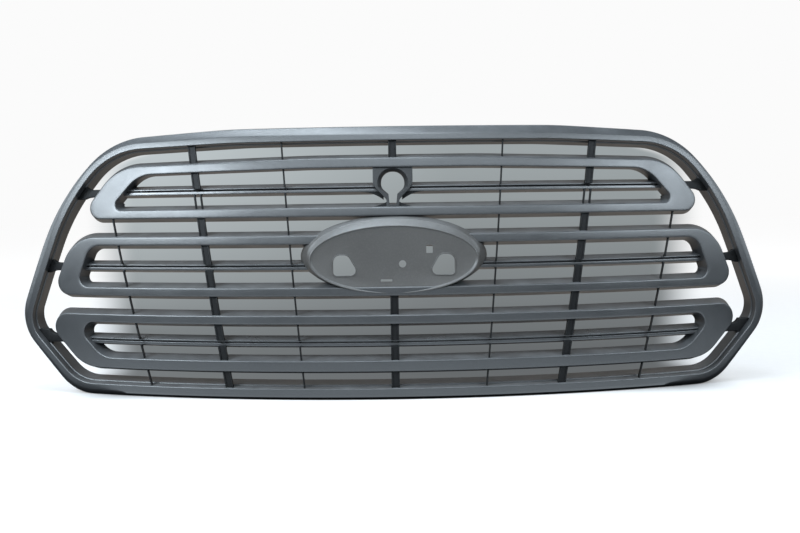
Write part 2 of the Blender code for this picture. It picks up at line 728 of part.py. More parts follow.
def build():
    for item in list(bpy.data.objects):
        bpy.data.objects.remove(item, do_unlink=True)
    parts = bpy.data.collections.new(PART_NAME)
    guides = bpy.data.collections.new("cutters")
    bpy.context.scene.collection.children.link(parts)
    bpy.context.scene.collection.children.link(guides)

    frame_cutter = frame_envelope()
    ring_cutters = {level: ring_envelope(f"{level}_ring_envelope", ring)
                    for level, ring in RINGS.items()}
    blade_cutters = [strip(f"{level}_blade_envelope", blade_envelope_section(), ring["blade"],
                           -ring_end(ring), ring_end(ring), LOWER_BLADE_STEPS)
                     for level, ring in RINGS.items()]
    badge_cutter, port_cutter = badge_envelope(), port_envelope()
    floor_cutters = badge_cutters()

    rings = [ring_piece(f"{level}_ring", ring) for level, ring in RINGS.items()]
    trim(rings[1], [badge_cutter])
    badge = badge_base()
    trim(badge, floor_cutters)
    port = lock_port()
    trim(port, [ring_cutters["upper"]])

    crossing = [frame_cutter] + list(ring_cutters.values()) + blade_cutters
    add_all([surround_frame()], parts, plastic("frame_plastic", 0.030, 0.45))
    add_all(rings, parts, plastic("ring_plastic", 0.032, 0.42))
    add_all(make_blades(ring_cutters, port_cutter, badge_cutter), parts,
            plastic("blade_plastic", 0.028, 0.42))
    ribs, rib_openings = make_ribs(crossing)
    add_all(ribs, parts, plastic("rib_plastic", 0.020, 0.50))
    add_all(make_links(ring_cutters, frame_cutter), parts, plastic("link_plastic", 0.018, 0.55))
    add_all([badge, port], parts, plastic("badge_plastic", 0.026, 0.48))
    add_all(make_fixings(), parts, plastic("fixing_plastic", 0.020, 0.50))

    cutters = [frame_cutter, badge_cutter, port_cutter] + blade_cutters + floor_cutters
    cutters += list(ring_cutters.values()) + rib_openings
    add_all(cutters, guides)
    for item in cutters:
        item.hide_render = True
        item.display_type = "WIRE"


build()
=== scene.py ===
"""Looks of the front grille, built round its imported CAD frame.

The visible pieces repeat the CAD outlines with finer curves, eased edges and fillets, and get
grained black plastic.  Everything is in metres: X across the vehicle, Z up, front facing -Y.
"""

import math

import bmesh
import bpy
from mathutils import Matrix, Vector
from mathutils.geometry import intersect_point_line


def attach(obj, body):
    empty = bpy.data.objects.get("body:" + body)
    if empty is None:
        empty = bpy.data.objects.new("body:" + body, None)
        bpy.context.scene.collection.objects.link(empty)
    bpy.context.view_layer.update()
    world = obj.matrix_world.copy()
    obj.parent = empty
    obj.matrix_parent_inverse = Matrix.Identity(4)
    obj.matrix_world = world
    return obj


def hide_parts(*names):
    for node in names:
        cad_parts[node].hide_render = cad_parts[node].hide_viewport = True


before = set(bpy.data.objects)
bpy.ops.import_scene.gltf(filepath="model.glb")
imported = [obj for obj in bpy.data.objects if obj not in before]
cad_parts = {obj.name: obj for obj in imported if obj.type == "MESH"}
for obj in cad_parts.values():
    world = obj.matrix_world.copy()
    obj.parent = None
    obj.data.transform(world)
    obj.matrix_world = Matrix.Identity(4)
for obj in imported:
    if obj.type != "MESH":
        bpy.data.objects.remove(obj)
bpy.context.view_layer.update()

# ---------------------------------------------------------------- dimensions (metres)
BOW_RADIUS = 1.100
LEAN_RADIUS = 0.775
NOSE_HEIGHT = 0.060
NOSE_Y = -0.0948
WALL = 0.0026
SKIN = 0.0030
EDGE = 0.0018
FINE = 3                    # the outlines are this many times finer than in the CAD
EASE_STEPS = 4

FRAME_OUTER = [(0.2360, 0.3820, 0.900), (0.4171, 0.3721, 0.124), (0.5030, 0.2800, 0.350),
               (0.5672, 0.1017, 0.062), (0.4724, 0.0000, 0.070)]
FRAME_OPENING = [(0.2360, 0.3610, 0.900), (0.4209, 0.3545, 0.110), (0.4859, 0.2732, 0.300),
                 (0.5485, 0.0994, 0.042), (0.4658, 0.0165, 0.060)]
FRAME_DRAFTS = [0.0055, 0.0065, 0.0080, 0.0045, 0.0075, 0.0065]
FRAME_ARCS = [2, 7, 4, 7, 6]
FRAME_RUNS = [3, 1, 3, 3]
FRAME_BOTTOM_RUN = 20
FRAME_TOP_RUN = 12
FRAME_DEPTH = 0.045
FRAME_OUTER_DEPTH = 0.026
FRAME_FLAT = 0.0095
FRAME_SLOPE = 0.65
FOLD_EASE = 0.0014
STEP_DEPTH = 0.014
STEP_WIDTH = 0.0015

RING_DEPTH = 0.028
RING_FLARE = 0.0055
RING_END_FLARE = 0.0085
CROWN = 0.00008             # rise of the rings' faces in the middle of their width
RINGS = {
    "upper": {
        "outer": [(0.1200, 0.3364, 1.200), (0.4064, 0.3302, 0.070), (0.4640, 0.2545, 0.0174)],
        "opening": [(0.1200, 0.3226, 1.200), (0.3712, 0.3180, 0.047), (0.4152, 0.2670, 0.0088)],
        "arcs": [1, 6, 7], "runs": [6, 2], "lower_run": 22, "upper_run": 8, "blade": 0.2925,
        "top_flare": 0.0020,
    },
    "middle": {
        "outer": [(0.4738, 0.2288, 0.052), (0.5058, 0.1445, 0.0195)],
        "opening": [(0.4449, 0.2163, 0.022), (0.4658, 0.1567, 0.0137)],
        "arcs": [6, 6], "runs": [3], "lower_run": 22, "upper_run": 22, "blade": 0.1847,
        "top_flare": RING_FLARE,
    },
    "lower": {
        "outer": [(0.5294, 0.1182, 0.0206), (0.4547, 0.0400, 0.056)],
        "opening": [(0.4723, 0.1058, 0.0144), (0.4242, 0.0552, 0.040)],
        "arcs": [7, 6], "runs": [2], "lower_run": 22, "upper_run": 22, "blade": 0.0787,
        "top_flare": RING_FLARE,
    },
}

BLADE_SETBACK = 0.010
BLADE_DEPTH = 0.020
BLADE_LIP = 0.0031
BLADE_GROOVE = 0.0020
GROOVE_RISE = 0.0012
BLADE_CORE = 0.0021
GROOVE_DEPTH = 0.006
BLADE_TOP_FLARE = 0.0050
BLADE_BOTTOM_FLARE = 0.0038
LIP_EASE = 0.0006

RIB_FRONT = 0.003
RIB_WEB = 0.010
RIB_BACK = 0.036
RIB_SPINE = 0.026           # front of a rib where it passes behind a bar
RIB_SUNK = 0.0008           # how far a rib's end is sunk into a bar's wall
THIN_RIB = 0.0020
WIDE_RIB = 0.0114
WIDE_RIB_WALL = 0.0022
WIDE_RIB_FLOOR = 0.0042
FAN_HEIGHT = -1.360
FAN_BASE = 0.200
OPEN_GAP_Z = 0.279          # a wide rib has no floor in the gap that holds this height

LINK_HEIGHT = 0.0115
LINK_GROWTH = 0.0070
LINK_FRONT = 0.016
LINK_BACK = 0.027

BADGE_SIZE = (0.1165, 0.0465)
BADGE_Z = 0.1945
BADGE_RECESS = 0.0025
RIM_SIZE = (0.1210, 0.0520)
RIM_Z = 0.1990
RIM_FALL = 0.006
BADGE_PROUD = 0.010
SKIRT_SIZE = (0.1310, 0.0520)
SKIRT_Z = 0.1985
SKIRT_DEPTH = 0.034
BADGE_KIDNEY = [(0.084, 0.201, 0.010), (0.084, 0.173, 0.005), (0.048, 0.173, 0.007),
                (0.064, 0.201, 0.010)]
BADGE_HOLE = (0.0120, 0.1880, 0.0050)
BADGE_WINDOW = (0.0495, 0.2080, 0.0045, 0.0055, 0.0010)
BADGE_SLOT = (-0.0105, 0.1655, 0.0080, 0.0016, 0.0008)

PORT_OUTER = [(0.028, 0.331, 0.005), (0.028, 0.297, 0.018), (0.009, 0.277, 0.006),
              (0.009, 0.262, 0.001)]
PORT_INNER = [(0.0165, 0.3165, 0.0155), (0.0165, 0.294, 0.012), (0.0062, 0.2850, 0.002),
              (0.0048, 0.2700, 0.0008)]
PORT_CENTRE = (0.0, 0.302)
PORT_BACK = 0.0255
PORT_FUNNEL = 0.005
PORT_STEM_TOP = 0.291
PORT_EASE = 0.0009
BAR_FILLETS = ((0.3268, -0.0042, 0.020, 0.058, 0.0036), (0.2668, 0.0085, 0.006, 0.035, 0.0050))
BLADE_FILLET = (-0.0115, 0.013, 0.044, 0.0110)
FILLET_BACK = 0.024

STEP_EASE = 0.0004          # easing of the step in the frame's inner wall
LINK_FLARE = 0.016          # length over which a link flares into the frame
LINK_EASE = 0.0012
LINK_STEPS = 28
WIDE_RIB_X = 0.2645
INNER_RIB_X = 0.1437
OUTER_RIB_X = 0.3955
RIB_SPAN = (0.012, 0.366)
OUTER_RIB_SPAN = (0.012, 0.262)
CENTRE_UPPER_SPAN = (0.332, 0.366)
CENTRE_LOWER_SPAN = (0.012, 0.150)
BLADE_SPLITS = (("upper", 0.0180), ("middle", 0.110))
BLADE_STEPS = 50
SHARP_ANGLE = 32            # degrees; steeper edges stay sharp

# (growth, depth) along the badge base's chamfered rim and over the ridge inside it
RIM_PROFILE = ((0.0, 0.0014), (-0.0004, 0.0006), (-0.0012, 0.0))
RIDGE_PROFILE = ((0.0012, 0.0012), (0.0005, 0.0003), (0.0, 0.0), (-0.0007, 0.0001),
                 (-0.0013, 0.0006), (-0.0017, 0.0013))
LIP_PROFILE = ((0.0001, 0.0008), (0.0001, -0.0006), (0.0005, -0.0010),
               (0.0012, -0.0010), (0.0016, -0.0006), (0.0017, 0.0008))


# ---------------------------------------------------------------- the face and flat outlines
def face_y(x, z):
    """Y of the bowed, leaning front face."""
    bow = BOW_RADIUS - math.sqrt(BOW_RADIUS ** 2 - x ** 2)
    lean = LEAN_RADIUS - math.sqrt(LEAN_RADIUS ** 2 - (z - NOSE_HEIGHT) ** 2)
    return NOSE_Y + bow + lean


def lay(points, depth):
    """Lay flat points on the face, at one depth or at a depth for each point."""
    depths = depth if isinstance(depth, list) else [depth] * len(points)
    return [Vector((p.x, face_y(p.x, p.y) + d, p.y)) for p, d in zip(points, depths)]


def corner_arc(before, corner, after, steps):
    """Points round one corner, from its first tangent point to its last."""
    tip = Vector(corner[:2])
    back = (Vector(before[:2]) - tip).normalized()
    ahead = (Vector(after[:2]) - tip).normalized()
    half = back.angle(ahead) / 2
    centre = tip + (back + ahead).normalized() * corner[2] / math.sin(half)
    spoke = tip + back * corner[2] / math.tan(half) - centre
    turn = math.pi - 2 * half
    if back.cross(ahead) < 0:
        turn = -turn
    return [centre + Matrix.Rotation(-turn * k / steps, 2) @ spoke for k in range(steps + 1)]


def rounded_loop(corners, runs, arcs):
    """Closed outline; arcs[i] divides corner i and runs[i] divides the run after it."""
    count = len(corners)
    bends = [corner_arc(corners[i - 1], corners[i], corners[(i + 1) % count], arcs[i])
             for i in range(count)]
    points = []
    for i, arc in enumerate(bends):
        after = bends[(i + 1) % count][0]
        points += arc
        points += [arc[-1].lerp(after, k / runs[i]) for k in range(1, runs[i])]
    return points


def symmetric_loop(corners, side_runs, bottom_run, top_run, arcs, fine=FINE):
    """Closed outline from the corners of its right half."""
    mirrored = [(-x, z, radius) for x, z, radius in reversed(corners)]
    runs = side_runs + [bottom_run] + side_runs[::-1] + [top_run]
    return rounded_loop(corners + mirrored, [r * fine for r in runs],
                        [a * fine for a in arcs + arcs[::-1]])


def shifted(points, amount, end_amount=None, top_amount=None):
    """Move a clockwise outline outward, by other amounts where it faces sideways or up."""
    extra = 0.0 if end_amount is None else end_amount - amount
    top_extra = 0.0 if top_amount is None else top_amount - amount
    moved = []
    for i, point in enumerate(points):
        along = points[(i + 1) % len(points)] - points[i - 1]
        outward = Vector((-along.y, along.x)).normalized()
        moved.append(point + outward * (amount + extra * abs(outward.x)
                                        + top_extra * max(outward.y, 0.0)))
    return moved


def distance_to(point, points):
    """Shortest distance from a point to a closed outline."""
    nearest = math.inf
    for p, q in zip(points, points[1:] + points[:1]):
        foot, share = intersect_point_line(point, p, q)
        foot = p if share < 0 else q if share > 1 else foot
        nearest = min(nearest, (Vector(foot[:2]) - point).length)
    return nearest


def ellipse(size, z, count=160):
    """Clockwise ellipse; size holds its half width and half height."""
    angles = [-2 * math.pi * k / count for k in range(count)]
    return [Vector((size[0] * math.cos(a), z + size[1] * math.sin(a))) for a in angles]


def inset_corners(corners, widths):
    """Corners of the line that runs inside an outline, each run set in by its own width."""
    chain = [(0, corners[0][1])] + [c[:2] for c in corners] + [(0, corners[-1][1])]
    lines = []
    for start, end, width in zip(chain, chain[1:], widths):
        along = (Vector(end) - Vector(start)).normalized()
        lines.append((Vector(start) + Vector((along.y, -along.x)) * width, along))
    inner = []
    for (p, u), (q, v), corner, width in zip(lines, lines[1:], corners, widths[1:]):
        tip = p + u * ((q - p).cross(v) / u.cross(v))
        inner.append((tip.x, tip.y, corner[2] - width))
    return inner


# ---------------------------------------------------------------- meshes
def skin(mesh_data, loops, closed):
    """Join closed loops one after another; an open run of loops gets its two end faces."""
    rows = [[mesh_data.verts.new(p) for p in loop] for loop in loops]
    pairs = list(zip(rows, rows[1:] + rows[:1])) if closed else list(zip(rows, rows[1:]))
    for row, following in pairs:
        for k in range(len(row)):
            n = (k + 1) % len(row)
            mesh_data.faces.new((row[k], row[n], following[n], following[k]))
    if not closed:
        mesh_data.faces.new(rows[0])
        mesh_data.faces.new(rows[-1])


def piece_from(name, mesh_data):
    """Finish a mesh as a smooth object whose steep edges stay sharp."""
    bmesh.ops.recalc_face_normals(mesh_data, faces=mesh_data.faces)
    mesh = bpy.data.meshes.new(name)
    mesh_data.to_mesh(mesh)
    mesh_data.free()
    item = bpy.data.objects.new(name, mesh)
    bpy.context.scene.collection.objects.link(item)
    smooth(item)
    return item


def smooth(item):
    mesh = item.data
    mesh.polygons.foreach_set("use_smooth", [True] * len(mesh.polygons))
    mesh.set_sharp_from_angle(angle=math.radians(SHARP_ANGLE))


def loft(name, loops, closed=False):
    mesh_data = bmesh.new()
    skin(mesh_data, loops, closed)
    return piece_from(name, mesh_data)


def quarter(radius, steps=EASE_STEPS):
    """(sideways, down) of a quarter round, from the side wall up to the face."""
    turns = [math.pi / 2 * k / steps for k in range(steps + 1)]
    return [(radius * (1 - math.cos(t)), radius * (1 - math.sin(t))) for t in turns]


# ---------------------------------------------------------------- surround frame
def frame_outlines():
    """Outer outline, front edge of the opening and back edge of the inner wall."""
    back = inset_corners(FRAME_OPENING, FRAME_DRAFTS)
    return [symmetric_loop(c, FRAME_RUNS, FRAME_BOTTOM_RUN, FRAME_TOP_RUN, FRAME_ARCS)
            for c in (FRAME_OUTER, FRAME_OPENING, back)]


def surround_frame():
    """Channel-shaped frame: sloping outer band, flat front face and a stepped inner wall."""
    outer, opening, back = frame_outlines()
    fold = shifted(opening, FRAME_FLAT)
    fall = [FRAME_SLOPE * distance_to(point, fold) for point in outer]
    inner_line = [p.lerp(q, STEP_DEPTH / FRAME_DEPTH) for p, q in zip(opening, back)]
    ledge = shifted(inner_line, -STEP_WIDTH)
    loops = [lay(outer, FRAME_OUTER_DEPTH), lay(outer, [f + EDGE for f in fall])]
    for side, down in quarter(EDGE)[1:]:
        loops.append(lay(shifted(outer, -side),
                         [f + down - FRAME_SLOPE * side * (1 - down / EDGE) for f in fall]))
    loops += [lay(shifted(fold, FOLD_EASE), FRAME_SLOPE * FOLD_EASE),
              lay(shifted(fold, FOLD_EASE / 3), 0.00045),
              lay(shifted(fold, -FOLD_EASE / 3), 0.00012),
              lay(shifted(fold, -FOLD_EASE), 0.0),
              lay(shifted(opening, EDGE + 0.0006), 0.0)]
    loops += [lay(shifted(opening, side), down) for side, down in quarter(EDGE)[::-1]]
    loops += [lay(inner_line, STEP_DEPTH - STEP_EASE),
              lay(shifted(inner_line, -STEP_EASE), STEP_DEPTH),
              lay(shifted(ledge, STEP_EASE), STEP_DEPTH + STEP_EASE),
              lay(ledge, STEP_DEPTH + 0.0009),
              lay(back, FRAME_DEPTH),
              lay(shifted(back, WALL), FRAME_DEPTH),
              lay(shifted(inner_line, WALL), STEP_DEPTH + SKIN),
              lay(shifted(opening, WALL + 0.0005), SKIN + EDGE),
              lay(fold, SKIN),
              lay(shifted(outer, -WALL), [f + SKIN for f in fall]),
              lay(shifted(outer, -WALL), FRAME_OUTER_DEPTH)]
    return loft("frame_moulding", loops, closed=True)


# ---------------------------------------------------------------- rings
def ring_outlines(ring):
    """Outer outline of a ring and the front edge of its opening."""
    return [symmetric_loop(ring[edge], ring["runs"], ring["lower_run"], ring["upper_run"],
                           ring["arcs"])
            for edge in ("outer", "opening")]


def ring_backs(ring):
    """The same two outlines at the back, where the walls have leaned apart."""
    outer, opening = ring_outlines(ring)
    return [shifted(outer, RING_FLARE),
            shifted(opening, -RING_FLARE, -RING_END_FLARE, -ring["top_flare"])]


def ring_piece(name, ring):
    """Ring of channel section, open at the back, with a slightly crowned face."""
    outer, opening = ring_outlines(ring)
    outer_back, opening_back = ring_backs(ring)
    outer_edge, inner_edge = shifted(outer, -EDGE), shifted(opening, EDGE)
    loops = [lay(outer_back, RING_DEPTH)]
    loops += [lay(shifted(outer, -side), down) for side, down in quarter(EDGE)]
    for share in (0.12, 0.3, 0.5, 0.7, 0.88):
        line = [p.lerp(q, share) for p, q in zip(outer_edge, inner_edge)]
        loops.append(lay(line, -CROWN * 4 * share * (1 - share)))
    loops += [lay(shifted(opening, side), down) for side, down in quarter(EDGE)[::-1]]
    loops += [lay(opening_back, RING_DEPTH),
              lay(shifted(opening_back, WALL), RING_DEPTH),
              lay(shifted(opening, WALL), SKIN),
              lay(shifted(outer, -WALL), SKIN),
              lay(shifted(outer_back, -WALL), RING_DEPTH)]
    return loft(name, loops, closed=True)


# ---------------------------------------------------------------- blades
def blade_section():
    """Section of a blade as (height, depth): two eased lips, the groove, a hollow back."""
    lip = BLADE_GROOVE / 2 + BLADE_LIP
    high, low = GROOVE_RISE + BLADE_GROOVE / 2, GROOVE_RISE - BLADE_GROOVE / 2
    front, back = BLADE_SETBACK, BLADE_SETBACK + BLADE_DEPTH
    groove = front + GROOVE_DEPTH
    top, bottom = lip + BLADE_TOP_FLARE, -lip - BLADE_BOTTOM_FLARE
    ease = quarter(LIP_EASE, 3)
    section = [(top, back)]
    section += [(lip - side, front + down) for side, down in ease]
    section += [(high + side, front + down) for side, down in ease[::-1]]
    section += [(high, groove), (low, groove)]
    section += [(low - side, front + down) for side, down in ease]
    section += [(-lip + side, front + down) for side, down in ease[::-1]]
    return section + [(bottom, back), (bottom + WALL, back), (-BLADE_CORE, groove + WALL),
                      (BLADE_CORE, groove + WALL), (top - WALL, back)]


def strip(name, section, z, x_from, x_to, steps):
    """Section carried across the grille at one height."""
    loops = []
    for k in range(steps + 1):
        x = x_from + (x_to - x_from) * k / steps
        loops.append([Vector((x, face_y(x, z + h) + depth, z + h)) for h, depth in section])
    return loft(name, loops)


def reach(points, z):
    """Greatest X at which an outline crosses the height z."""
    found = []
    for p, q in zip(points, points[1:] + points[:1]):
        if (p.y - z) * (q.y - z) <= 0 and p.y != q.y:
            found.append(p.x + (q.x - p.x) * (z - p.y) / (q.y - p.y))
    return max(found)


def ring_end(ring):
    """X half-way across the broad end of a ring, at its blade's height."""
    return sum(reach(points, ring["blade"]) for points in ring_outlines(ring)) / 2


# ---------------------------------------------------------------- ribs
def rib_x(place, z):
    """X of a rib's centre line: the ribs fan out upward from one far point."""
    return place * (z - FAN_HEIGHT) / (FAN_BASE - FAN_HEIGHT)


def crossings(points, place):
    """Heights at which a rib's centre line crosses an outline."""
    heights = []
    for p, q in zip(points, points[1:] + points[:1]):
        before, after = p.x - rib_x(place, p.y), q.x - rib_x(place, q.y)
        if (before < 0) != (after < 0):
            heights.append(p.y + (q.y - p.y) * before / (before - after))
    return heights


def bar_edges(place):
    """Edges of the bars that a rib meets, from the bottom up: (front z, back z, is a blade)."""
    outlines = frame_outlines()
    fronts, backs = crossings(outlines[1], place), crossings(outlines[2], place)
    lip = BLADE_GROOVE / 2 + BLADE_LIP
    blades = []
    for ring in RINGS.values():
        outer, opening = ring_outlines(ring)
        for front, back in zip((outer, opening), ring_backs(ring)):
            fronts += crossings(front, place)
            backs += crossings(back, place)
        z = ring["blade"]
        blades += [z - lip, z + lip]
        fronts += [z - lip, z + lip]
        backs += [z - lip - BLADE_BOTTOM_FLARE, z + lip + BLADE_TOP_FLARE]
    return [(f, b, f in blades) for f, b in zip(sorted(fronts), sorted(backs))]


def wall_z(edge, depth):
    """Height of a bar's leaning wall at one depth."""
    front, back, is_blade = edge
    start = BLADE_SETBACK if is_blade else EDGE
    end = BLADE_SETBACK + BLADE_DEPTH if is_blade else RING_DEPTH
    share = min(max((depth - start) / (end - start), 0.0), 1.0)
    return front + (back - front) * share


def gap_end(edge, sign, rib_front):
    """Sections where a rib leaves a bar, from inside the bar out; sign is +1 at a gap's foot.

    Each is ((z, depth) of the front edge, (z, depth) of the back edge).
    """
    front, _, is_blade = edge
    if is_blade:
        return [((front - sign * 0.0015, 0.0130), (front - sign * 0.0015, RIB_BACK)),
                ((front - sign * 0.0004, 0.0115), (front + sign * 0.0010, 0.0180)),
                ((front, BLADE_SETBACK - 0.0002), (front + sign * 0.0010, 0.0150)),
                ((front, rib_front), (front + sign * 0.0016, 0.0130)),
                ((front + sign * 0.0030, rib_front), (front + sign * 0.0040, RIB_WEB))]
    inside = max(rib_front, SKIN + 0.0004)
    root = wall_z(edge, RIB_WEB) - sign * WALL
    return [((root - sign * 0.0012, inside), (root - sign * 0.0012, RIB_BACK)),
            ((root - sign * 0.0004, inside), (root - sign * 0.0004, RIB_WEB + 0.0005)),
            ((wall_z(edge, rib_front) - sign * RIB_SUNK, rib_front),
             (wall_z(edge, RIB_WEB) - sign * RIB_SUNK, RIB_WEB))]


def upright(mesh_data, place, bottom, top, offset, half, front, skip=None, only_gaps=False):
    """Add one upright plate of a rib, shallow between the bars and a spine behind them."""
    edges = bar_edges(abs(place))
    sections = [] if only_gaps else [((bottom, RIB_SPINE), (bottom, RIB_BACK))]
    for low, high in zip(edges[0::2], edges[1::2]):
        if low[0] < bottom or high[0] > top or (skip and low[0] < skip < high[0]):
            continue
        gap = gap_end(low, 1, front) + gap_end(high, -1, front)[::-1]
        if only_gaps:
            plate(mesh_data, gap, place, offset, half)
        sections += gap
    if not only_gaps:
        plate(mesh_data, sections + [((top, RIB_SPINE), (top, RIB_BACK))], place, offset, half)


def plate(mesh_data, sections, place, offset, half):
    """Skin one plate through its sections, with eased front edges."""
    ease = min(0.0005, half / 3)
    loops = []
    for (z_front, front), (z_back, back) in sections:
        loop = []
        for side, z, depth in ((-half, z_front, front + ease), (-half + ease, z_front, front),
                               (half - ease, z_front, front), (half, z_front, front + ease),
                               (half, z_back, back), (-half, z_back, back)):
            x = rib_x(place, z) + offset + side
            loop.append(Vector((x, face_y(x, z) + depth, z)))
        loops.append(loop)
    skin(mesh_data, loops, closed=False)


def thin_rib(name, place, bottom, top):
    mesh_data = bmesh.new()
    upright(mesh_data, place, bottom, top, 0.0, THIN_RIB / 2, RIB_FRONT)
    return piece_from(name, mesh_data)


def wide_rib(name, place, bottom, top):
    """Two plates with a floor between them, open in one gap."""
    mesh_data = bmesh.new()
    offset = (WIDE_RIB - WIDE_RIB_WALL) / 2
    for side in (-1, 1):
        upright(mesh_data, place, bottom, top, side * offset, WIDE_RIB_WALL / 2, RIB_FRONT)
    upright(mesh_data, place, bottom, top, 0.0, WIDE_RIB / 2 - WIDE_RIB_WALL + 0.0003,
            WIDE_RIB_FLOOR, skip=OPEN_GAP_Z, only_gaps=True)
    return piece_from(name, mesh_data)


# ---------------------------------------------------------------- links
def link(name, ring, side):
    """Short bar from a ring's end to the frame's inner wall, where it flares."""
    z = ring["blade"]
    outer, opening, back = frame_outlines()
    start, wall = ring_end(ring), reach(back, z)
    end = (reach(outer, z) + reach(opening, z)) / 2
    loops = []
    for k in range(LINK_STEPS + 1):
        x = start + (end - start) * k / LINK_STEPS
        near = min(max((x - wall + LINK_FLARE) / LINK_FLARE, 0.0), 1.0)
        growth = LINK_GROWTH * near ** 3
        top, bottom = z + LINK_HEIGHT / 2 + growth, z - LINK_HEIGHT / 2 - growth * 0.45
        front = LINK_FRONT - 0.0025 * near ** 2
        corners = [(top, LINK_BACK)]
        corners += [(top - s, front + d) for s, d in quarter(LINK_EASE, 3)]
        corners += [(bottom + s, front + d) for s, d in quarter(LINK_EASE, 3)[::-1]]
        corners.append((bottom, LINK_BACK))
        loops.append([Vector((side * x, face_y(x, h) + depth, h)) for h, depth in corners])
    return loft(name, loops)


# ---------------------------------------------------------------- badge base
def plate_y(z):
    """Y of the flat plane on which the badge would sit."""
    low, high = BADGE_Z - BADGE_SIZE[1], RIM_Z + RIM_SIZE[1]
    y_low, y_high = face_y(0, low), face_y(0, high) - BADGE_PROUD
    return y_low + (y_high - y_low) * (z - low) / (high - low)


def on_plate(size, z, depth):
    """Ellipse parallel to the badge plane."""
    return [Vector((p.x, plate_y(p.y) + depth, p.y)) for p in ellipse(size, z)]


def grown(size, amount):
    return (size[0] + amount, size[1] + amount)


def rectangle(half_width, half_height, radius):
    corners = [(half_width, half_height, radius), (half_width, -half_height, radius)]
    return symmetric_loop(corners, [1], 1, 1, [2, 2])


def prism(name, outline, x=0.0, z=0.0, reach_y=0.012):
    """Flat outline carried through the floor of the badge base along Y."""
    floor = plate_y(BADGE_Z)
    loops = [[Vector((p.x + x, y, p.y + z)) for p in outline]
             for y in (floor - reach_y, floor + reach_y)]
    return loft(name, loops)


def kidneys():
    mirrored = [(-x, z, radius) for x, z, radius in reversed(BADGE_KIDNEY)]
    return [rounded_loop(corners, [2] * 4, [10] * 4) for corners in (BADGE_KIDNEY, mirrored)]


def badge_cutters():
    hole_x, hole_z, hole_radius = BADGE_HOLE
    cutters = [prism(f"cut_kidney_{k}", outline) for k, outline in enumerate(kidneys())]
    cutters.append(prism("cut_hole", ellipse((hole_radius, hole_radius), hole_z, 40), hole_x))
    for name, shape in (("cut_window", BADGE_WINDOW), ("cut_slot", BADGE_SLOT)):
        x, z, half_width, half_height, radius = shape
        cutters.append(prism(name, rectangle(half_width, half_height, radius), x, z))
    return cutters


def cut(item, cutters):
    """Cut the cutters' shapes out of a piece for good, then remove them."""
    for cutter in cutters:
        modifier = item.modifiers.new(cutter.name, "BOOLEAN")
        modifier.operation = "DIFFERENCE"
        modifier.solver = "EXACT"
        modifier.object = cutter
    bpy.context.view_layer.update()
    shape = item.evaluated_get(bpy.context.evaluated_depsgraph_get())
    mesh = bpy.data.meshes.new_from_object(shape)
    item.modifiers.clear()
    item.data = mesh
    for cutter in cutters:
        bpy.data.objects.remove(cutter, do_unlink=True)
    smooth(item)


def badge_base():
    """Oval cup: a skirt that widens to the back, a chamfered rim with a ridge, a floor."""
    middle = ((RIM_SIZE[0] + 2 * SKIRT_SIZE[0]) / 3, RIM_SIZE[1] + 0.0035)
    middle_z = RIM_Z + 0.0010
    floor = grown(BADGE_SIZE, -0.0035)
    loops = [on_plate(grown(BADGE_SIZE, -0.005), BADGE_Z, BADGE_RECESS + SKIN),
             on_plate(grown(middle, -WALL), middle_z, SKIRT_DEPTH / 2),
             on_plate(grown(SKIRT_SIZE, -WALL), SKIRT_Z, SKIRT_DEPTH),
             on_plate(SKIRT_SIZE, SKIRT_Z, SKIRT_DEPTH),
             on_plate(middle, middle_z, SKIRT_DEPTH / 2)]
    for amount, depth in RIM_PROFILE:
        loops.append(on_plate(grown(RIM_SIZE, amount), RIM_Z, RIM_FALL + depth))
    for amount, depth in RIDGE_PROFILE:
        loops.append(on_plate(grown(BADGE_SIZE, amount), BADGE_Z, depth))
    loops += [on_plate(grown(floor, 0.0010), BADGE_Z, BADGE_RECESS - 0.0004),
              on_plate(grown(floor, 0.0003), BADGE_Z, BADGE_RECESS - 0.0001),
              on_plate(floor, BADGE_Z, BADGE_RECESS)]
    base = loft("badge_cup", loops)
    cut(base, badge_cutters())
    return base


def kidney_rims():
    """Low raised lips round the two kidney openings of the badge floor."""
    mesh_data = bmesh.new()
    for outline in kidneys():
        loops = []
        for amount, depth in LIP_PROFILE:
            loops.append([Vector((p.x, plate_y(p.y) + BADGE_RECESS + depth, p.y))
                          for p in shifted(outline, amount)])
        skin(mesh_data, loops, closed=True)
    return piece_from("badge_clip_rims", mesh_data)


# ---------------------------------------------------------------- lock funnel
def port_outlines():
    return [symmetric_loop(c, [1, 1, 1], 1, 3, [4] * 4) for c in (PORT_OUTER, PORT_INNER)]


def lock_port():
    """Funnel to the bonnet lock: a tear-drop tube that stands on the ring's lower bar."""
    outer, inner = port_outlines()
    centre = Vector(PORT_CENTRE)

    def widened(amount):
        spread = []
        for p in inner:
            share = min(max((p.y - PORT_STEM_TOP + 0.006) / 0.012, 0.0), 1.0)
            spread.append(p + (p - centre).normalized() * amount * share)
        return spread

    loops = [lay(outer, PORT_BACK)]
    loops += [lay(shifted(outer, -side), RIB_FRONT + down) for side, down in quarter(PORT_EASE)]
    for share in (1.0, 0.82, 0.6, 0.36, 0.16, 0.04, 0.0):
        depth = RIB_FRONT + (1 - share) * (RING_DEPTH / 2 - RIB_FRONT)
        loops.append(lay(widened(PORT_FUNNEL * share ** 1.5), depth))
    loops.append(lay(inner, PORT_BACK))
    return loft("lock_funnel", loops, closed=True)


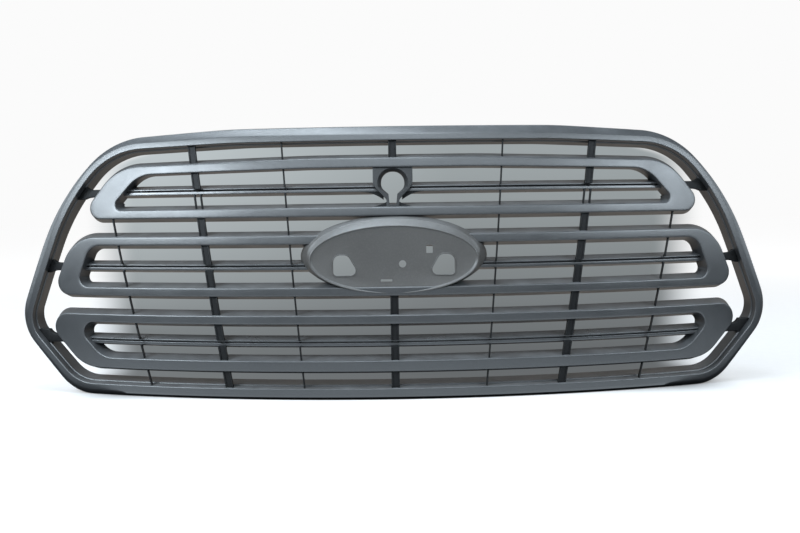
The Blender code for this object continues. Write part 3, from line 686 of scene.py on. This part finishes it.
def wedge(mesh_data, z, rise, x_from, x_to, front, back, power=2.0, steps=20):
    """Fillet along a bar: its height falls from rise at x_from to nothing at x_to."""
    loops = []
    for k in range(steps + 1):
        x = x_from + (x_to - x_from) * k / steps
        height = rise * (1 - k / steps) ** power + math.copysign(0.0002, rise)
        root = z - math.copysign(0.0012, rise)
        corners = [(root, front), (z + height, front), (z + height, back), (root, back)]
        loops.append([Vector((x, face_y(x, h) + depth, h)) for h, depth in corners])
    skin(mesh_data, loops, closed=False)


def port_fillets():
    """Fillets where the funnel meets the bars above and below it and the blade."""
    mesh_data = bmesh.new()
    blade = RINGS["upper"]["blade"]
    lip = BLADE_GROOVE / 2 + BLADE_LIP
    for side in (-1, 1):
        upper, lower = BAR_FILLETS
        for z, rise, near, far, front in (upper, (blade - lip,) + BLADE_FILLET, lower):
            wedge(mesh_data, z, rise, side * near, side * far, front, FILLET_BACK)
    return piece_from("funnel_fillets", mesh_data)


# ---------------------------------------------------------------- materials
DUST_COLOUR = (0.30, 0.31, 0.32, 1.0)
REAR_PAINTED_LIGHT = 9.0             # surfaces that face backward are painted this many times lighter: painted light that stands in for light on the unlit back, so that the back can be read
                            # the back can be read
GRAIN_HEIGHT = 0.00012


def node(tree, kind, links=(), **values):
    """Add a shader node; values fill its settings, links are (input, socket) pairs."""
    made = tree.nodes.new(kind)
    for name, value in values.items():
        if hasattr(made, name):
            setattr(made, name, value)
    for socket, source in links:
        if isinstance(source, bpy.types.NodeSocket):
            tree.links.new(source, made.inputs[socket])
        else:
            made.inputs[socket].default_value = source
    return made


def noise(tree, vector, scale, detail=3.0, roughness=0.5):
    return node(tree, "ShaderNodeTexNoise", [("Vector", vector), ("Scale", scale),
                                             ("Detail", detail), ("Roughness", roughness)])


def remap(tree, value, low, high, to_low, to_high):
    made = node(tree, "ShaderNodeMapRange",
                [("Value", value), ("From Min", low), ("From Max", high),
                 ("To Min", to_low), ("To Max", to_high)])
    return made.outputs["Result"]


def mixed(tree, factor, first, second, blend="MIX"):
    made = node(tree, "ShaderNodeMix", data_type="RGBA", blend_type=blend)
    for index, source in ((0, factor), (6, first), (7, second)):
        if isinstance(source, bpy.types.NodeSocket):
            tree.links.new(source, made.inputs[index])
        else:
            made.inputs[index].default_value = source
    return made.outputs[2]


def tone(level, warmth=0.0):
    """Near-neutral dark grey, a little blue, or brown where warmth is positive."""
    return (level * (0.97 + warmth * 1.2), level * (1.0 + warmth * 0.35),
            level * (1.05 - warmth * 0.6), 1.0)


def grained_plastic(name, level, roughness, dust=0.16, grain=0.30, gloss=0.5, warmth=0.0):
    """Black moulded plastic: cloudy tone, fine grain, uneven sheen and a little settled dust,
    with painted light that makes surfaces facing backward lighter.
    """
    material = bpy.data.materials.new(name)
    material.use_nodes = True
    tree = material.node_tree
    shader = tree.nodes["Principled BSDF"]
    place = node(tree, "ShaderNodeTexCoord").outputs["Object"]
    cloud = noise(tree, place, 7.0, 4.0, 0.6).outputs["Fac"]
    fleck = noise(tree, place, 420.0, 2.0).outputs["Fac"]
    colour = mixed(tree, remap(tree, cloud, 0.3, 0.7, 0.0, 1.0),
                   tone(level * 0.86, warmth), tone(level * 1.14, warmth))
    colour = mixed(tree, remap(tree, fleck, 0.45, 0.75, 0.0, 0.35), colour,
                   tone(level * 1.7, warmth))
    upward = node(tree, "ShaderNodeSeparateXYZ",
                  [("Vector", node(tree, "ShaderNodeNewGeometry").outputs["Normal"])])
    settled = remap(tree, upward.outputs["Z"], 0.35, 1.0, 0.0, dust)
    patchy = remap(tree, noise(tree, place, 34.0, 5.0, 0.65).outputs["Fac"], 0.3, 0.7, 0.35, 1.0)
    film = node(tree, "ShaderNodeMath", [(0, settled), (1, patchy)], operation="MULTIPLY")
    colour = mixed(tree, film.outputs[0], colour, DUST_COLOUR)
    # painted light: surfaces that face backward are mixed toward a much lighter tone
    rear_painted_light = remap(tree, upward.outputs["Y"], 0.30, 0.80, 0.0, 1.0)
    colour = mixed(tree, rear_painted_light, colour, tone(level * REAR_PAINTED_LIGHT, warmth))
    tree.links.new(colour, shader.inputs["Base Color"])
    uneven = noise(tree, place, 19.0, 4.0).outputs["Fac"]
    sheen = remap(tree, uneven, 0.3, 0.7, roughness - 0.045, roughness + 0.045)
    tree.links.new(sheen, shader.inputs["Roughness"])
    cells = node(tree, "ShaderNodeTexVoronoi", [("Vector", place), ("Scale", 1100.0)])
    fine = noise(tree, place, 1900.0, 2.0).outputs["Fac"]
    height = node(tree, "ShaderNodeMath", [(0, cells.outputs["Distance"]), (1, fine)],
                  operation="ADD")
    bump = node(tree, "ShaderNodeBump", [("Strength", grain), ("Distance", GRAIN_HEIGHT),
                                         ("Height", height.outputs[0])])
    tree.links.new(bump.outputs["Normal"], shader.inputs["Normal"])
    shader.inputs["Specular IOR Level"].default_value = gloss
    shader.inputs["IOR"].default_value = 1.5
    return material


# ---------------------------------------------------------------- assembly
def put(item, material, slot, *nodes):
    """Give a piece its material and its body, and hide the CAD nodes that it stands for."""
    item.data.materials.clear()
    item.data.materials.append(material)
    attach(item, "root")
    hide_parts(*nodes)
    return item


PLASTICS = {
    "frame_plastic": grained_plastic("frame_grain", 0.016, 0.37),
    "ring_plastic": grained_plastic("ring_grain", 0.015, 0.36),
    "blade_plastic": grained_plastic("blade_grain", 0.018, 0.30),
    # painted shade: ribs, links and the funnel's fillets get a far darker, duller copy of the
    # plastic so that they read as lying in shadow
    "rib_plastic": grained_plastic("rib_grain_painted_shade", 0.004, 0.55, 0.04, 0.30, 0.10),
    "link_plastic": grained_plastic("link_grain_painted_shade", 0.004, 0.55, 0.04, 0.30, 0.10),
    "badge_plastic": grained_plastic("badge_grain", 0.024, 0.46, warmth=0.15),
    # painted shade: the lock funnel gets a darker, duller copy of the plastic so that it reads as
    # shadowed
    "funnel": grained_plastic("funnel_grain_painted_shade", 0.008, 0.50, 0.08, gloss=0.25),
    "fixing_plastic": grained_plastic("fixing_grain", 0.012, 0.44),
}


def add(item, slot, *nodes):
    return put(item, PLASTICS[slot], slot, *nodes)


def build_pieces():
    add(surround_frame(), "frame_plastic", "surround_frame")
    for level, ring in RINGS.items():
        add(ring_piece(f"{level}_slat", ring), "ring_plastic", f"{level}_ring")
    for level, split in BLADE_SPLITS:
        ring = RINGS[level]
        for side, word in ((-1, "left"), (1, "right")):
            add(strip(f"{level}_vane_{word}", blade_section(), ring["blade"], side * split,
                      side * ring_end(ring), BLADE_STEPS),
                "blade_plastic", f"{level}_blade_{word}")
    ring = RINGS["lower"]
    add(strip("lower_vane", blade_section(), ring["blade"], -ring_end(ring), ring_end(ring),
              2 * BLADE_STEPS), "blade_plastic", "lower_blade")
    for side, word in ((-1, "left"), (1, "right")):
        add(thin_rib(f"inner_upright_{word}", side * INNER_RIB_X, *RIB_SPAN), "rib_plastic",
            f"inner_rib_{word}")
        add(thin_rib(f"outer_upright_{word}", side * OUTER_RIB_X, *OUTER_RIB_SPAN), "rib_plastic",
            f"outer_rib_{word}")
        add(wide_rib(f"wide_upright_{word}", side * WIDE_RIB_X, *RIB_SPAN), "rib_plastic",
            f"wide_rib_{word}")
        for level, ring in RINGS.items():
            add(link(f"{level}_bridge_{word}", ring, side), "link_plastic",
                f"{level}_link_{word}")
    add(wide_rib("centre_upright_upper", 0.0, *CENTRE_UPPER_SPAN), "rib_plastic",
        "centre_rib_upper")
    add(wide_rib("centre_upright_lower", 0.0, *CENTRE_LOWER_SPAN), "rib_plastic",
        "centre_rib_lower")
    add(badge_base(), "badge_plastic", "badge_base")
    rims = kidney_rims()
    rims.data.materials.append(PLASTICS["badge_plastic"])
    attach(rims, "root")
    put(lock_port(), PLASTICS["funnel"], "badge_plastic", "lock_port")
    fillets = port_fillets()
    fillets.data.materials.append(PLASTICS["link_plastic"])
    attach(fillets, "root")
    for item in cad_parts.values():
        if not item.hide_render:
            for holder in item.material_slots:
                holder.material = PLASTICS["fixing_plastic"]


build_pieces()


# ---------------------------------------------------------------- floor, backdrop, light, camera
FLOOR_GLOW = 0.45           # brightness of the floor round the object, before the lights
COOL = (0.80, 0.91, 1.0)
WARM = (1.0, 0.92, 0.84)
STUDIO_WHITE = 0.965
FLOOR_REACH = 14.0
FLOOR_SHADE = ((-0.44, 0.46), (-0.03, 0.22))    # X and Y of the painted shadow patch under the object
FLOOR_SHADE_SOFT = (0.06, 0.05)
# the shade card is an emitting sheet that carries a painted shadow, seen through the grille's
# gaps
CARD_Y = 0.10               # just behind the object
CARD_HALF_WIDTH = 0.5
CARD_HEIGHT = 0.4
CARD_SHADE = ((-0.434, 0.438), (-0.3, 0.379))   # X and lifted Z of the painted shadow on the card
CARD_SHADE_SOFT = (0.042, 0.008)
CARD_ARCH = 1.27            # the shade's top falls by this times the fourth power of X
EYE = Vector((0.0, NOSE_Y - 1.6, 0.2729))
LENS = 52.56
SENSOR = 36.0
CAMERA_YAW = -0.297         # degrees
CAMERA_PITCH = 3.145        # degrees down
CAMERA_ROLL = -0.0150       # radians

# (name, place, target, size, radiance, colour)
LIGHTS = [
    ("key_left", (-1.75, -1.05, 1.45), (-0.30, 0.0, 0.22), (1.2, 0.9), 30.0, COOL),
    ("side_left", (-2.3, -0.6, 1.25), (-0.40, 0.0, 0.20), (1.6, 1.1), 5.5, COOL),
    ("key_right", (1.75, -1.05, 1.45), (0.35, 0.0, 0.25), (1.1, 0.9), 12.0, COOL),
    ("side_right", (2.3, -0.6, 1.25), (0.40, 0.0, 0.20), (1.6, 1.1), 5.5, COOL),
    ("top_front", (0.0, -1.45, 1.75), (0.0, 0.0, 0.25), (2.2, 1.1), 5.6, COOL),
    ("overhead", (-0.25, -0.10, 2.2), (-0.1, 0.0, 0.3), (1.8, 0.6), 16.0, COOL),
    ("back_top", (-0.30, 1.0, 2.2), (0.0, 0.0, 0.2), (2.2, 0.8), 1.8, COOL),
    ("back_left", (-2.4, 1.1, 0.9), (0.0, 0.0, 0.2), (1.2, 1.0), 3.2, COOL),
    ("back_right", (2.4, 1.1, 0.9), (0.0, 0.0, 0.2), (1.2, 1.0), 2.2, COOL),
    ("room_front", (0.0, -3.2, 1.0), (0.0, 0.0, 0.2), (3.6, 2.0), 1.0, COOL),
    ("floor_front", (0.0, -0.60, 0.004), (0.0, -0.60, 1.0), (2.0, 1.16), 2.4, COOL),
    ("backdrop", (0.0, 2.6, 0.9), (0.0, 0.0, 0.2), (4.0, 1.8), 0.3, WARM),
    ("floor_back", (0.0, 0.9, 0.004), (0.0, 0.9, 1.0), (2.4, 1.4), 0.42, WARM),
]


def emitter(tree, colour, strength):
    return node(tree, "ShaderNodeEmission", [("Color", colour), ("Strength", strength)])


def new_plane(name, corners, material):
    mesh = bpy.data.meshes.new(name)
    mesh.from_pydata(corners, [], [(0, 1, 2, 3)])
    mesh.materials.append(material)
    item = bpy.data.objects.new(name, mesh)
    bpy.context.scene.collection.objects.link(item)
    return item


def box_mask(tree, first, second, limits, soft):
    """1 inside a soft-edged rectangle of two coordinates, 0 outside."""
    factor = None
    for value, (low, high), edge in ((first, limits[0], soft[0]), (second, limits[1], soft[1])):
        for a, b in ((low - edge, low + edge), (high + edge, high - edge)):
            step = node(tree, "ShaderNodeMapRange",
                        [("Value", value), ("From Min", a), ("From Max", b)],
                        interpolation_type="SMOOTHSTEP").outputs["Result"]
            if factor is None:
                factor = step
            else:
                factor = node(tree, "ShaderNodeMath", [(0, factor), (1, step)],
                              operation="MULTIPLY").outputs[0]
    return factor


def floor_material():
    """Pale matt floor that fades into the studio's white, with a painted shadow: a darker patch
    under the object.
    """
    material = bpy.data.materials.new("pale_floor")
    material.use_nodes = True
    tree = material.node_tree
    shader = tree.nodes["Principled BSDF"]
    shader.inputs["Roughness"].default_value = 0.75
    place = node(tree, "ShaderNodeTexCoord").outputs["Object"]
    parts = node(tree, "ShaderNodeSeparateXYZ", [("Vector", place)])
    shade = box_mask(tree, parts.outputs["X"], parts.outputs["Y"],
                     FLOOR_SHADE, FLOOR_SHADE_SOFT)
    grain = remap(tree, noise(tree, place, 60.0, 4.0).outputs["Fac"], 0.3, 0.7, 0.0, 1.0)
    colour = mixed(tree, grain, (0.24, 0.24, 0.24, 1.0), (0.26, 0.26, 0.26, 1.0))
    # painted shadow: darker colour in the patch under the object
    colour = mixed(tree, shade, colour, (0.05, 0.052, 0.055, 1.0))
    tree.links.new(colour, shader.inputs["Base Color"])
    away = node(tree, "ShaderNodeVectorMath", [(0, place)], operation="LENGTH")
    glow = remap(tree, away.outputs["Value"], 0.9, 3.5, FLOOR_GLOW, STUDIO_WHITE)
    # painted shadow: the floor's glow is also cut down in the patch
    lit = node(tree, "ShaderNodeMath", [(0, glow), (1, remap(tree, shade, 0.0, 1.0, 1.0, 0.1))],
               operation="MULTIPLY")
    shader.inputs["Emission Color"].default_value = (1.0, 1.0, 1.0, 1.0)
    tree.links.new(lit.outputs[0], shader.inputs["Emission Strength"])
    return material


def card_material():
    """Emitting card that shows only from the front, with a painted shadow: grey, darker towards
    the bottom, painted lighter towards the upper left.
    """
    material = bpy.data.materials.new("soft_shade")
    material.use_nodes = True
    tree = material.node_tree
    tree.nodes.clear()
    parts = node(tree, "ShaderNodeSeparateXYZ",
                 [("Vector", node(tree, "ShaderNodeTexCoord").outputs["Object"])])
    arch = node(tree, "ShaderNodeMath", [(0, parts.outputs["X"]), (1, 4.0)],
                operation="POWER").outputs[0]
    lifted = node(tree, "ShaderNodeMath", [(0, arch), (1, CARD_ARCH), (2, parts.outputs["Z"])],
                  operation="MULTIPLY_ADD").outputs[0]
    mask = box_mask(tree, parts.outputs["X"], lifted,
                    CARD_SHADE, CARD_SHADE_SOFT)
    facing = node(tree, "ShaderNodeMath",
                  [(0, 1.0), (1, node(tree, "ShaderNodeNewGeometry").outputs["Backfacing"])],
                  operation="SUBTRACT")
    factor = node(tree, "ShaderNodeMath", [(0, mask), (1, facing.outputs[0])],
                  operation="MULTIPLY")
    # painted shade: the card's grey darkens towards the bottom
    height = remap(tree, parts.outputs["Z"], 0.04, 0.326, 0.0, 1.0)
    colour = mixed(tree, height, (0.135, 0.145, 0.150, 1.0), (0.330, 0.365, 0.375, 1.0))
    # painted light: the card is lighter towards the upper left
    glow = node(tree, "ShaderNodeMath",
                [(0, remap(tree, parts.outputs["X"], 0.09, -0.37, 0.0, 1.0)),
                 (1, remap(tree, parts.outputs["Z"], 0.08, 0.353, 0.1, 0.72))],
                operation="MULTIPLY")
    lit = mixed(tree, glow.outputs[0], colour, (0.60, 0.66, 0.68, 1.0))
    output = node(tree, "ShaderNodeOutputMaterial")
    clear = node(tree, "ShaderNodeBsdfTransparent")
    blend = node(tree, "ShaderNodeMixShader",
                 [(0, factor.outputs[0]), (1, clear.outputs[0]),
                  (2, emitter(tree, lit, 1.0).outputs[0])])
    tree.links.new(blend.outputs[0], output.inputs["Surface"])
    return material


def area_light(name, place, target, size, radiance, colour):
    """Softbox of a given size and radiance, aimed at a point and unseen by the camera."""
    data = bpy.data.lights.new(name, "AREA")
    data.shape = "RECTANGLE"
    data.size, data.size_y = size
    data.energy = radiance * math.pi * size[0] * size[1]
    data.color = colour
    item = bpy.data.objects.new(name, data)
    bpy.context.scene.collection.objects.link(item)
    item.visible_camera = False
    item.location = place
    item.rotation_euler = (Vector(target) - Vector(place)).to_track_quat("-Z", "Y").to_euler()
    return item


def build_stage():
    """Floor, shade card, studio white and lights.

    The plastic neither mirrors nor is lit by the floor, the card and the world; weak lights in
    the list stand in for them.
    """
    far, half = FLOOR_REACH, CARD_HALF_WIDTH
    floor = new_plane("studio_floor", [(-far, -far, 0), (far, -far, 0), (far, far, 0),
                                       (-far, far, 0)], floor_material())
    card = new_plane("shade_card", [(-half, CARD_Y, 0.0), (half, CARD_Y, 0.0),
                                    (half, CARD_Y, CARD_HEIGHT), (-half, CARD_Y, CARD_HEIGHT)],
                     card_material())
    card.visible_shadow = False
    for item in (floor, card):
        item.visible_diffuse = item.visible_glossy = False
    world = bpy.data.worlds.new("studio")
    bpy.context.scene.world = world
    world.use_nodes = True
    sky = world.node_tree.nodes["Background"]
    sky.inputs["Color"].default_value = (STUDIO_WHITE, STUDIO_WHITE, STUDIO_WHITE, 1.0)
    sky.inputs["Strength"].default_value = 1.0
    world.cycles_visibility.diffuse = world.cycles_visibility.glossy = False
    for light in LIGHTS:
        area_light(*light)
    scene = bpy.context.scene
    scene.view_settings.view_transform = "Standard"
    scene.view_settings.look = "None"


def build_camera():
    data = bpy.data.cameras.new("photo_view")
    camera = bpy.data.objects.new("photo_view", data)
    bpy.context.scene.collection.objects.link(camera)
    data.sensor_width = SENSOR
    data.lens = LENS
    data.clip_start, data.clip_end = 0.05, 60.0
    turn = (Matrix.Rotation(math.radians(CAMERA_YAW), 4, "Z")
            @ Matrix.Rotation(math.radians(90.0 - CAMERA_PITCH), 4, "X")
            @ Matrix.Rotation(CAMERA_ROLL, 4, "Z"))
    camera.matrix_world = Matrix.Translation(EYE) @ turn
    bpy.context.scene.camera = camera


build_stage()
build_camera()
